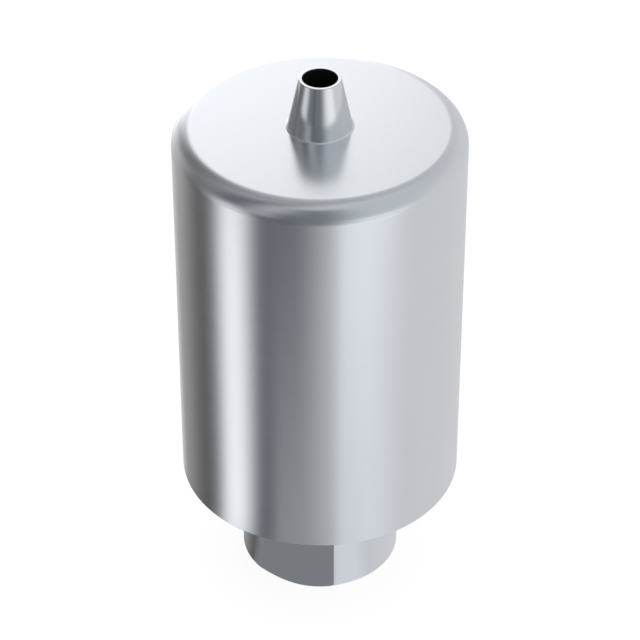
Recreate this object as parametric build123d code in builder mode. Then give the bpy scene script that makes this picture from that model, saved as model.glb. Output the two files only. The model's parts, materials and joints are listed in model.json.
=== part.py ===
# Dental abutment blank, one piece turned and drilled from titanium bar.
# The plain cylinder is the stock that is milled into a tooth's abutment. On top of it
# stands the finished cone that seats in the implant, and the shank below is what the
# milling machine's holder grips.
# Millimetres, +Z up along the turning axis, origin at the centre of the shank's end face.

import os
from math import radians, tan

from build123d import *

os.makedirs("parts", exist_ok=True)

# Body, the stock that is milled away
body_diameter = 14.0
body_length = 20.0
body_edge_radius = 0.9

# Shank, gripped by the holder
shank_diameter = 8.0
shank_length = 6.0
shank_end_chamfer = 0.6

# Index flat milled along the shank's -Y side. It is a little shallower than the end chamfer, so
# it runs out in the chamfer and leaves the end face round.
flat_depth = 0.55

# Cone that seats in the implant
cone_base_diameter = 3.1
cone_height = 2.6
cone_half_angle = 12.0
cone_foot_radius = 0.1

# Screw hole through the cone, seat for the screw's head, and channel for the driver
screw_hole_diameter = 1.65
screw_channel_diameter = 2.4
screw_seat_depth = 1.6
screw_seat_half_angle = 45.0
channel_mouth_chamfer = 0.2

# Radii
body_radius = body_diameter / 2
shank_radius = shank_diameter / 2
cone_base_radius = cone_base_diameter / 2
cone_tip_radius = cone_base_radius - cone_height * tan(radians(cone_half_angle))
screw_hole_radius = screw_hole_diameter / 2
screw_channel_radius = screw_channel_diameter / 2

# Heights above the shank's end face
shoulder_z = shank_length
seating_face_z = shoulder_z + body_length
cone_tip_z = seating_face_z + cone_height
screw_seat_top_z = seating_face_z - screw_seat_depth
screw_seat_height = (screw_channel_radius - screw_hole_radius) / tan(radians(screw_seat_half_angle))
screw_seat_base_z = screw_seat_top_z - screw_seat_height

# Distance of the flat from the turning axis
flat_distance = shank_radius - flat_depth

with BuildPart() as abutment_blank:
    # Outside, turned in one clamping from the shank's end to the cone's tip. The section is
    # drawn on the flat's side, so the flat takes away the seam of the shank's round wall.
    with BuildSketch(Plane.left) as turned_section:
        with BuildLine():
            Polyline(
                (0, 0),
                (shank_radius, 0),
                (shank_radius, shoulder_z),
                (body_radius, shoulder_z),
                (body_radius, seating_face_z),
                (cone_base_radius, seating_face_z),
                (cone_tip_radius, cone_tip_z),
                (0, cone_tip_z),
                close=True,
            )
        make_face()
        shank_end_corner = turned_section.vertices().group_by(Axis.Y)[0].sort_by(Axis.X)[-1]
        chamfer(shank_end_corner, shank_end_chamfer)
        body_edge_corner = turned_section.vertices().group_by(Axis.Y)[-2].sort_by(Axis.X)[-1]
        fillet(body_edge_corner, body_edge_radius)
        cone_foot_corner = turned_section.vertices().group_by(Axis.Y)[-2].sort_by(Axis.X)[0]
        fillet(cone_foot_corner, cone_foot_radius)
    revolve(axis=Axis.Z)

    # Inside, drilled from the shank's end: driver channel, head seat and screw hole
    with BuildSketch(Plane.left) as drilled_section:
        with BuildLine():
            Polyline(
                (0, 0),
                (screw_channel_radius + channel_mouth_chamfer, 0),
                (screw_channel_radius, channel_mouth_chamfer),
                (screw_channel_radius, screw_seat_base_z),
                (screw_hole_radius, screw_seat_top_z),
                (screw_hole_radius, cone_tip_z),
                (0, cone_tip_z),
                close=True,
            )
        make_face()
    revolve(axis=Axis.Z, mode=Mode.SUBTRACT)

    # Index flat, milled from the shank's end up to the shoulder
    with BuildSketch(Plane.XY) as milled_away:
        with Locations((0, -flat_distance)):
            Rectangle(shank_diameter, shank_radius, align=(Align.CENTER, Align.MAX))
    extrude(amount=shoulder_z, mode=Mode.SUBTRACT)

abutment_blank.part.label = "abutment_blank"
export_step(abutment_blank.part, "parts/abutment_blank.step")
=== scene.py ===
import json
from math import acos, ceil, cos, degrees, pi, radians, sin, tan

import bmesh
import bpy
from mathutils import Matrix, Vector


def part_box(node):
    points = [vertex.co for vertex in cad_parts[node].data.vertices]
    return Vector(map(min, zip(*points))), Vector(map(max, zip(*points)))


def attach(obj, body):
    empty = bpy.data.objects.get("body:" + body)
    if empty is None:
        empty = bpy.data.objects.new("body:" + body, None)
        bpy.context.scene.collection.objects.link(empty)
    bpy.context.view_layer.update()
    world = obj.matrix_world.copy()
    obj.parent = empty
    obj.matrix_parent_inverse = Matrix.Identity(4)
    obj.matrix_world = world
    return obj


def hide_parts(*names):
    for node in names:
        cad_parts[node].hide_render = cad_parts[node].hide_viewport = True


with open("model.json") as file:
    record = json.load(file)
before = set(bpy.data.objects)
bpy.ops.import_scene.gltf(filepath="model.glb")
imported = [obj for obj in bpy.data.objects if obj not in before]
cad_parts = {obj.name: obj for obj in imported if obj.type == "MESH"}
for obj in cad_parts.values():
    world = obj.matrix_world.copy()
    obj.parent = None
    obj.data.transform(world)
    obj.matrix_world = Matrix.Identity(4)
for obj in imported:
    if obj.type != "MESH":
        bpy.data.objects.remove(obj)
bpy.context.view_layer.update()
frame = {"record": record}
scene = bpy.context.scene
mm = 0.001

# Turned blank
# The whole part is one piece of titanium bar. It is turned to shape in a lathe, drilled right
# through from the shank's end, and flatted on the shank with a milling cutter. It stands on its shank.
mounts = {mount["name"]: mount for mount in frame["record"]["mounts"]}
high_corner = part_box("abutment_blank")[1]
body_radius = high_corner.x
tip_z = high_corner.z
shank_radius = mounts["shank"]["dims"]["r_mm"] * mm
shoulder_z = mounts["holder_shoulder"]["pos_m"][2]
seating_z = mounts["seating_face"]["pos_m"][2]
flat_distance = -mounts["index_flat"]["pos_m"][1]
hole_radius = mounts["screw_hole"]["dims"]["r_mm"] * mm
hole_length = mounts["screw_hole"]["dims"]["length_mm"] * mm
channel_radius = mounts["screw_channel"]["dims"]["r_mm"] * mm
channel_length = mounts["screw_channel"]["dims"]["length_mm"] * mm
channel_mouth_z = mounts["screw_channel"]["pos_m"][2] - channel_length / 2
hole_base_z = tip_z - hole_length
seat_base_z = hole_base_z - (channel_radius - hole_radius)

# Sizes that the frame doesn't hold, as in the part's source, and the edge break left by deburring
body_edge_radius = 0.9 * mm
shank_chamfer = 0.6 * mm
cone_base_radius = 1.55 * mm
cone_half_angle = radians(12)
cone_foot_radius = 0.1 * mm
cone_tip_radius = cone_base_radius - (tip_z - seating_z) * tan(cone_half_angle)
edge_break = 0.03 * mm

# The half section, from the channel's mouth out, up and back down the hole. Each corner has its
# radius from the axis, its height, its rounding, and what the flat does to it there. The flat runs
# out in the chamfer, which is 45 degrees, so it lowers the chamfer's upper edge as much as it cuts in.
half_section = [
    (channel_radius + channel_mouth_z, 0, 0, "round"),
    (shank_radius - shank_chamfer, 0, 0, "round"),
    (shank_radius, shank_chamfer, 0, "flat runs out"),
    (shank_radius, shoulder_z, 0, "flat"),
    (shank_radius, shoulder_z, 0, "round"),
    (body_radius, shoulder_z, edge_break, "round"),
    (body_radius, seating_z, body_edge_radius, "round"),
    (cone_base_radius, seating_z, cone_foot_radius, "round"),
    (cone_tip_radius, tip_z, edge_break, "round"),
    (hole_radius, tip_z, edge_break, "round"),
    (hole_radius, hole_base_z, 0, "round"),
    (channel_radius, seat_base_z, 0, "round"),
    (channel_radius, channel_mouth_z, 0, "round"),
]
arc_step = radians(6)
holding_gap = 0.02 * mm


def rounded_rows(corners):
    """The section's corners as rows of radius, height and cut, with each rounding as a true arc.

    A holding row lies just past each end of an arc, so that the flats and walls beside it shade flat.
    """
    rows = []
    for i, (radius, height, rounding, cut) in enumerate(corners):
        if rounding == 0:
            rows.append((radius, height, cut))
            continue
        corner = Vector((radius, height))
        before = (Vector(corners[i - 1][:2]) - corner).normalized()
        after = (Vector(corners[i + 1][:2]) - corner).normalized()
        half_opening = before.angle(after) / 2
        tangent_length = rounding / tan(half_opening)
        centre = corner + (before + after).normalized() * rounding / sin(half_opening)
        start = corner + before * tangent_length - centre
        end = corner + after * tangent_length - centre
        steps = ceil((pi - 2 * half_opening) / arc_step)
        turn = start.angle_signed(end) / steps
        rows.append((*(centre + start + before * holding_gap), cut))
        for step in range(steps + 1):
            a = -turn * step
            x = start.x * cos(a) - start.y * sin(a)
            y = start.x * sin(a) + start.y * cos(a)
            rows.append((centre.x + x, centre.y + y, cut))
        rows.append((*(centre + end + after * holding_gap), cut))
    return rows


# Columns round the axis, with one exactly on each edge of the flat, which faces -Y
flat_half_angle = acos(flat_distance / shank_radius)
flat_middle = radians(-90)
flat_columns = 46
round_columns = 210
flat_start = flat_middle - flat_half_angle
flat_end = flat_middle + flat_half_angle
flat_arc = 2 * flat_half_angle
round_arc = 2 * pi - flat_arc
column_angles = [flat_start + flat_arc * i / flat_columns for i in range(flat_columns)]
column_angles += [flat_end + round_arc * i / round_columns for i in range(round_columns)]

section_rows = rounded_rows(half_section)
blank_mesh = bmesh.new()
rings = []
for radius, height, cut in section_rows:
    ring = []
    for angle in column_angles:
        towards_flat = cos(angle - flat_middle)
        cut_depth = 0
        if cut != "round" and towards_flat > 0:
            cut_depth = max(radius - flat_distance / towards_flat, 0)
        reach = radius - cut_depth
        drop = cut_depth if cut == "flat runs out" else 0
        ring.append(blank_mesh.verts.new((reach * cos(angle), reach * sin(angle), height - drop)))
    rings.append(ring)
for i, ring in enumerate(rings):
    upper = rings[(i + 1) % len(rings)]
    for j in range(len(ring)):
        k = (j + 1) % len(ring)
        blank_mesh.faces.new((ring[j], ring[k], upper[k], upper[j]))
weld_distance = 0.0001 * mm
bmesh.ops.remove_doubles(blank_mesh, verts=blank_mesh.verts, dist=weld_distance)
bmesh.ops.recalc_face_normals(blank_mesh, faces=blank_mesh.faces)

# Each face takes the finish of the tool that cut it, and the bore's faces take painted shade as well. The
# finishes stand in this order on the mesh.
turning_tool, bore_painted_shade, milling_cutter, grinding_wheel = range(4)
square_to_flat = 0.99
for face in blank_mesh.faces:
    middle = face.calc_center_median()
    face.smooth = True
    faces_axis = face.normal.x * middle.x + face.normal.y * middle.y < -weld_distance
    in_flat = abs(middle.y + flat_distance) < weld_distance
    if faces_axis:
        face.material_index = bore_painted_shade
    elif in_flat and -face.normal.y > square_to_flat:
        face.material_index = milling_cutter
    elif middle.z > seating_z + weld_distance:
        face.material_index = grinding_wheel
    else:
        face.material_index = turning_tool
blank_data = bpy.data.meshes.new("turned_blank")
blank_mesh.to_mesh(blank_data)
blank_mesh.free()
sharp_angle = radians(25)
blank_data.set_sharp_from_angle(angle=sharp_angle)
blank = bpy.data.objects.new("turned_blank", blank_data)
scene.collection.objects.link(blank)


def add_node(tree, kind, **sockets):
    """A new node with its named inputs set, or joined where the value is another node's output."""
    node = tree.nodes.new(kind)
    for name, value in sockets.items():
        socket = node.inputs[name.replace("_", " ")]
        if isinstance(value, bpy.types.NodeSocket):
            tree.links.new(value, socket)
        else:
            socket.default_value = value
    return node


def add_maths(tree, operation, *values):
    """A maths node on one or more values, and its output."""
    node = tree.nodes.new("ShaderNodeMath")
    node.operation = operation
    for socket, value in zip(node.inputs, values):
        if isinstance(value, bpy.types.NodeSocket):
            tree.links.new(value, socket)
        else:
            socket.default_value = value
    return node.outputs[0]


# Tool marks are fine lines across the tool's feed. Their tone changes more slowly, about every
# twelve turns, and over it lies a faint cloudiness, about 3 mm across, from deburring and cleaning.
slow_turn_share = 0.08
clouds_per_metre = 320.0
tool_marks = bpy.data.node_groups.new("tool_marks", "ShaderNodeTree")
marks_inputs = {"Along Feed": "NodeSocketFloat", "Pitch": "NodeSocketFloat", "Place": "NodeSocketVector"}
for name, kind in marks_inputs.items():
    tool_marks.interface.new_socket(name, in_out="INPUT", socket_type=kind)
for name in ("Line Height", "Line Tone", "Cloud"):
    tool_marks.interface.new_socket(name, in_out="OUTPUT", socket_type="NodeSocketFloat")
marks_in = tool_marks.nodes.new("NodeGroupInput")
marks_out = tool_marks.nodes.new("NodeGroupOutput")
turns = add_maths(tool_marks, "DIVIDE", marks_in.outputs["Along Feed"], marks_in.outputs["Pitch"])
fine_lines = add_node(tool_marks, "ShaderNodeTexNoise", Scale=1.0, Detail=2.0, Roughness=0.6)
fine_lines.noise_dimensions = "1D"
tool_marks.links.new(turns, fine_lines.inputs["W"])
slow_turns = add_maths(tool_marks, "MULTIPLY", turns, slow_turn_share)
slow_lines = add_node(tool_marks, "ShaderNodeTexNoise", Scale=1.0, Detail=3.0, Roughness=0.7)
slow_lines.noise_dimensions = "1D"
tool_marks.links.new(slow_turns, slow_lines.inputs["W"])
clouds = add_node(
    tool_marks,
    "ShaderNodeTexNoise",
    Vector=marks_in.outputs["Place"],
    Scale=clouds_per_metre,
    Detail=4.0,
    Roughness=0.6,
)
tool_marks.links.new(fine_lines.outputs["Fac"], marks_out.inputs["Line Height"])
tool_marks.links.new(slow_lines.outputs["Fac"], marks_out.inputs["Line Tone"])
tool_marks.links.new(clouds.outputs["Fac"], marks_out.inputs["Cloud"])


def cut_titanium(name, feed, pitch, tones, roughness, line_depth):
    """Bare titanium as one tool leaves it.

    The feed is round, for rings about the axis, or across, for straight lines. The two tones and
    the two values of roughness are the ends between which the marks move.
    """
    material = bpy.data.materials.new(name)
    material.use_nodes = True
    tree = material.node_tree
    shader = tree.nodes["Principled BSDF"]
    shader.inputs["Metallic"].default_value = 1.0
    place = tree.nodes.new("ShaderNodeTexCoord").outputs["Object"]
    axes = add_node(tree, "ShaderNodeSeparateXYZ", Vector=place)
    if feed == "round":
        square_x = add_maths(tree, "MULTIPLY", axes.outputs["X"], axes.outputs["X"])
        square_y = add_maths(tree, "MULTIPLY", axes.outputs["Y"], axes.outputs["Y"])
        from_axis = add_maths(tree, "SQRT", add_maths(tree, "ADD", square_x, square_y))
        along_feed = add_maths(tree, "SUBTRACT", axes.outputs["Z"], from_axis)
    else:
        along_feed = axes.outputs["Z"]
    marks = tree.nodes.new("ShaderNodeGroup")
    marks.node_tree = tool_marks
    marks.inputs["Pitch"].default_value = pitch
    tree.links.new(along_feed, marks.inputs["Along Feed"])
    tree.links.new(place, marks.inputs["Place"])

    cloud_share = 0.5
    line_part = add_maths(tree, "MULTIPLY", marks.outputs["Line Tone"], 1 - cloud_share)
    blend = add_maths(tree, "MULTIPLY_ADD", marks.outputs["Cloud"], cloud_share, line_part)
    tone = tree.nodes.new("ShaderNodeMix")
    tone.data_type = "RGBA"
    tone.inputs["A"].default_value = (*tones[0], 1)
    tone.inputs["B"].default_value = (*tones[1], 1)
    tree.links.new(blend, tone.inputs["Factor"])
    tree.links.new(tone.outputs["Result"], shader.inputs["Base Color"])
    gloss = add_node(tree, "ShaderNodeMapRange", Value=blend, To_Min=roughness[0], To_Max=roughness[1])
    tree.links.new(gloss.outputs["Result"], shader.inputs["Roughness"])
    bump = add_node(tree, "ShaderNodeBump", Height=marks.outputs["Line Height"], Distance=line_depth)
    tree.links.new(bump.outputs["Normal"], shader.inputs["Normal"])
    return material


turned = cut_titanium(
    "turned_titanium",
    feed="round",
    pitch=0.06 * mm,
    tones=((0.76, 0.775, 0.81), (0.80, 0.815, 0.845)),
    roughness=(0.20, 0.25),
    line_depth=0.00003 * mm,
)
# Painted shade: the bore's base colour is made near black to stand for the shade deep in the narrow hole,
# while its rougher finish and marks are the drill's.
painted_shade_drilled = cut_titanium(
    "drilled_titanium",
    feed="round",
    pitch=0.1 * mm,
    tones=((0.16, 0.165, 0.175), (0.22, 0.225, 0.24)),
    roughness=(0.32, 0.42),
    line_depth=0.002 * mm,
)
milled = cut_titanium(
    "milled_titanium",
    feed="across",
    pitch=0.08 * mm,
    tones=((0.75, 0.765, 0.80), (0.79, 0.805, 0.835)),
    roughness=(0.28, 0.34),
    line_depth=0.00005 * mm,
)
ground = cut_titanium(
    "ground_titanium",
    feed="round",
    pitch=0.04 * mm,
    tones=((0.78, 0.79, 0.815), (0.81, 0.82, 0.84)),
    roughness=(0.12, 0.15),
    line_depth=0.00002 * mm,
)
for material in (turned, painted_shade_drilled, milled, ground):
    blank_data.materials.append(material)
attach(blank, "root")
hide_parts("abutment_blank")

# Camera
# It looks down on the blank from in front and from the right of the flat, through a long lens.
view_azimuth = radians(-69.7)
view_elevation = radians(36.8)
view_distance = 132.84 * mm
view_aim = Vector((0, 0, 14.631 * mm))
camera_data = bpy.data.cameras.new("camera")
camera_data.lens = 151.43
camera_data.sensor_width = 36.0
camera_data.clip_start = 0.01
camera = bpy.data.objects.new("camera", camera_data)
towards_camera = Vector((
    cos(view_elevation) * cos(view_azimuth),
    cos(view_elevation) * sin(view_azimuth),
    sin(view_elevation),
))
camera.location = view_aim + towards_camera * view_distance
camera.rotation_euler = (-towards_camera).to_track_quat("-Z", "Y").to_euler()
scene.collection.objects.link(camera)
scene.camera = camera

# Floor
# A plain white table top. It shows as white paper does, and keeps the blank's soft shadow. The
# camera and reflections see mostly its glow, and other light bounces off it as off plain paper.
floor_radius = 3.0
paper_glow = 0.90
paper_shading = 0.14
paper_bounce = 0.8
floor_mesh = bmesh.new()
bmesh.ops.create_circle(floor_mesh, cap_ends=True, segments=96, radius=floor_radius)
floor_data = bpy.data.meshes.new("floor")
floor_mesh.to_mesh(floor_data)
floor_mesh.free()
floor = bpy.data.objects.new("floor", floor_data)
scene.collection.objects.link(floor)
white_paper = bpy.data.materials.new("white_paper")
white_paper.use_nodes = True
paper_tree = white_paper.node_tree
paper_tree.nodes.clear()
rays = paper_tree.nodes.new("ShaderNodeLightPath")
seen = add_maths(paper_tree, "MAXIMUM", rays.outputs["Is Camera Ray"], rays.outputs["Is Glossy Ray"])
seen = add_maths(paper_tree, "MAXIMUM", seen, rays.outputs["Is Transmission Ray"])
glow = add_node(paper_tree, "ShaderNodeEmission", Strength=paper_glow)
shading = add_node(paper_tree, "ShaderNodeBsdfDiffuse", Color=(paper_shading,) * 3 + (1,))
lit = paper_tree.nodes.new("ShaderNodeAddShader")
paper_tree.links.new(glow.outputs[0], lit.inputs[0])
paper_tree.links.new(shading.outputs[0], lit.inputs[1])
plain = add_node(paper_tree, "ShaderNodeBsdfDiffuse", Color=(paper_bounce,) * 3 + (1,))
paper = paper_tree.nodes.new("ShaderNodeMixShader")
paper_tree.links.new(seen, paper.inputs[0])
paper_tree.links.new(plain.outputs[0], paper.inputs[1])
paper_tree.links.new(lit.outputs[0], paper.inputs[2])
add_node(paper_tree, "ShaderNodeOutputMaterial", Surface=paper.outputs[0])
floor_data.materials.append(white_paper)

# Light tent
# Shiny metal shows only what stands around it, so a tent of pale cloth with grey and white cards
# hung in it closes the blank in. Only reflections see it. It lies on the table and rises to a dome.
tent_cloth = (0.695, 0.70, 0.71)

# Each card has its tone, its left and right edge in degrees from the camera's side, positive to
# the right, how softly those edges fade, its bottom and top in degrees above the blank's own level,
# and how softly these fade. A card may lean, by degrees to the right for each degree of height above
# the blank's level. A later card hangs in front of an earlier one.
tent_cards = {
    "upper cloth": dict(
        tone=(0.35, 0.36, 0.375), edges=(-200, 200), fade=(1, 1), span=(50, 150), rise=80
    ),
    "upper right cloth": dict(
        tone=(0.585, 0.605, 0.63), edges=(4, 151), fade=(50, 53), span=(32, 150), rise=54
    ),
    "front right cloth": dict(
        tone=(0.57, 0.605, 0.63), edges=(1, 85), fade=(17, 46), span=(1, 71), rise=34
    ),
    "white table card": dict(
        tone=(1.16, 1.20, 1.25), edges=(13, 54), fade=(10, 44), span=(-150, -35), rise=14
    ),
    "bright card": dict(
        tone=(1.08, 1.095, 1.12), edges=(-5, 63), fade=(17, 27), span=(-15, -7), rise=5
    ),
    "rim card": dict(
        tone=(1.15, 1.21, 1.225), edges=(24, 72), fade=(10, 10), span=(-30.5, -24), rise=5, lean=0.33
    ),
    "grey rear card": dict(
        tone=(0.085, 0.08, 0.08), edges=(-154, -85), fade=(10, 49), span=(-150, 48), rise=80
    ),
    "pale rear card": dict(
        tone=(0.60, 0.595, 0.58), edges=(-150.5, -115.5), fade=(10, 48), span=(-40, 19.5), rise=44, lean=0.23
    ),
    "black front card": dict(
        tone=(0.135, 0.145, 0.16), edges=(-89, 0), fade=(40, 46), span=(-150, 72), rise=50
    ),
    "front shade": dict(
        tone=(0.18, 0.20, 0.215), edges=(-16, 17.5), fade=(10, 45), span=(-29.5, 64), rise=5
    ),
    "grey table card": dict(
        tone=(0.45, 0.465, 0.475), edges=(-37.5, 57.5), fade=(13, 73), span=(-150, -39.5), rise=12
    ),
    "left strip": dict(
        tone=(1.14, 1.16, 1.17), edges=(-77.5, -51), fade=(20, 24), span=(-150, -8.5), rise=60, lean=0.22
    ),
    "thin end of left strip": dict(
        tone=(0.42, 0.43, 0.44), edges=(-79, -62), fade=(40, 40), span=(-30, -19), rise=8
    ),
    "slim strip": dict(
        tone=(0.39, 0.405, 0.425), edges=(-54.5, -32), fade=(22, 20), span=(-6.5, 66), rise=9
    ),
    "corner cloth": dict(
        tone=(0.475, 0.485, 0.50), edges=(-46.5, -23.5), fade=(10, 38), span=(26, 150), rise=32
    ),
    "upper front cloth": dict(
        tone=(0.565, 0.58, 0.60), edges=(-45, 9), fade=(18, 39), span=(62, 150), rise=8, lean=0.21
    ),
    "white back cloth": dict(
        tone=(1.64, 1.665, 1.67), edges=(-183, -152), fade=(21, 32), span=(-22, 36), rise=20
    ),
    "rear shade": dict(
        tone=(0.145, 0.15, 0.155), edges=(-167.5, -115.5), fade=(21, 25), span=(24, 50.5), rise=43
    ),
}


def soft_edge(inside_by, fade):
    """0 outside an edge and 1 inside it, with a smooth rise over the fade, which is centred on it."""
    x = min(max(inside_by / fade + 0.5, 0), 1)
    return x * x * (3 - 2 * x)


def tent_tone(azimuth, elevation):
    """The tent's tone in this direction, which is given in degrees."""
    tone = Vector(tent_cloth)
    for card in tent_cards.values():
        left, right = card["edges"]
        left_fade, right_fade = card["fade"]
        bottom, top = card["span"]
        middle = (left + right) / 2
        half_width = (right - left) / 2
        offset = (azimuth - middle - card.get("lean", 0) * elevation + 180) % 360 - 180
        inside = soft_edge(offset + half_width, left_fade)
        inside *= soft_edge(half_width - offset, right_fade)
        inside *= soft_edge(elevation - bottom, card["rise"])
        inside *= soft_edge(top - elevation, card["rise"])
        tone = tone.lerp(Vector(card["tone"]), inside)
    return tone


# Rows of the tent: the radius of the wall that it serves, its reach from that wall, its height,
# and the elevation whose tones it carries. The first two rows serve the shank under the overhang.
# The next two lie where the body mirrors the table, nearest from its lower edge and farthest from
# its upper edge, and the rest close the tent up to the dome's top.
table_gap = 0.05 * mm
shank_sees_to = 6 * mm
body_sees_from = 7 * mm
body_sees_to = 34 * mm
near_elevation = -40
far_elevation = -36
tent_reach = 250 * mm
tent_step = 6
shank_rows = [
    (flat_distance, 0, table_gap, near_elevation),
    (shank_radius, shank_sees_to, table_gap, near_elevation),
]
table_rows = [
    (body_radius, body_sees_from, table_gap, near_elevation),
    (body_radius, body_sees_to, table_gap, far_elevation),
]
for elevation in range(-30, 0, tent_step):
    table_rows.append((body_radius, seating_z / tan(radians(-elevation)), table_gap, elevation))
dome_rows = []
for elevation in range(0, 91, tent_step):
    wall = body_radius * cos(radians(elevation))
    reach = tent_reach * cos(radians(elevation))
    height = seating_z + tent_reach * sin(radians(elevation))
    dome_rows.append((wall, reach, height, elevation))

# The shank stands in the body's shade, and that shade is painted into the tent rows that serve it. Each of
# them carries the painted shade's tone between two edges in degrees, and beside them no tone brighter than
# the overhang lets in.
overhang_painted_shade = Vector((0.232, 0.242, 0.25))
painted_shade_edges = ((-110, 20), (-100, 3))
brightest_tone_in_painted_shade = (0.76, 0.78, 0.82)

tent_mesh = bmesh.new()
tone_layer = tent_mesh.loops.layers.float_color.new("tone")
tent_columns = 180
tent_rings = []
tones = {}
for row, (wall, reach, height, elevation) in enumerate(shank_rows + table_rows + dome_rows):
    ring = []
    for i in range(tent_columns + 1):
        # A wall turned away from the camera mirrors what stands at twice its angle
        facing = radians(-90 + 180 * i / tent_columns)
        azimuth = degrees(2 * facing)
        place = Vector((
            wall * cos(view_azimuth + facing) + reach * cos(view_azimuth + 2 * facing),
            wall * sin(view_azimuth + facing) + reach * sin(view_azimuth + 2 * facing),
            height,
        ))
        vertex = tent_mesh.verts.new(place)
        tone = tent_tone(azimuth, elevation)
        # Painted shade: the shank's rows are darkened here to stand for the body's shade on the table.
        if row < len(shank_rows):
            tone = Vector(map(min, tone, brightest_tone_in_painted_shade))
            if painted_shade_edges[row][0] < azimuth < painted_shade_edges[row][1]:
                tone = overhang_painted_shade
        tones[vertex] = (*tone, 1)
        ring.append(vertex)
    tent_rings.append(ring)
for ring, upper in zip(tent_rings, tent_rings[1:]):
    for i in range(len(ring)):
        j = (i + 1) % len(ring)
        face = tent_mesh.faces.new((ring[i], ring[j], upper[j], upper[i]))
        for loop in face.loops:
            loop[tone_layer] = tones[loop.vert]
tent_data = bpy.data.meshes.new("light_tent")
tent_mesh.to_mesh(tent_data)
tent_mesh.free()
tent = bpy.data.objects.new("light_tent", tent_data)
scene.collection.objects.link(tent)
lit_cloth = bpy.data.materials.new("lit_cloth")
lit_cloth.use_nodes = True
cloth_tree = lit_cloth.node_tree
cloth_tree.nodes.clear()
cloth_tone = cloth_tree.nodes.new("ShaderNodeAttribute")
cloth_tone.attribute_name = "tone"
cloth_glow = add_node(cloth_tree, "ShaderNodeEmission", Color=cloth_tone.outputs["Color"], Strength=1.0)
add_node(cloth_tree, "ShaderNodeOutputMaterial", Surface=cloth_glow.outputs[0])
tent_data.materials.append(lit_cloth)
tent.visible_camera = False
tent.visible_diffuse = False
tent.visible_transmission = False
tent.visible_volume_scatter = False
tent.visible_shadow = False

# Air and lamp
# Even white light from all round, with one large soft lamp overhead for the shadow on the table.
air_brightness = 0.9
air = bpy.data.worlds.new("studio_air")
air.use_nodes = True
air.node_tree.nodes["Background"].inputs["Color"].default_value = (1, 1, 1, 1)
air.node_tree.nodes["Background"].inputs["Strength"].default_value = air_brightness
air.cycles_visibility.glossy = False
scene.world = air
lamp_width = 0.2
lamp_height = 0.22
lamp_brightness = 0.5
lamp_data = bpy.data.lights.new("soft_lamp", "AREA")
lamp_data.size = lamp_width
lamp_data.energy = lamp_brightness * pi * lamp_width**2
lamp = bpy.data.objects.new("soft_lamp", lamp_data)
lamp.location = (0, 0, lamp_height)
lamp.visible_glossy = False
scene.collection.objects.link(lamp)

scene.view_settings.view_transform = "Standard"
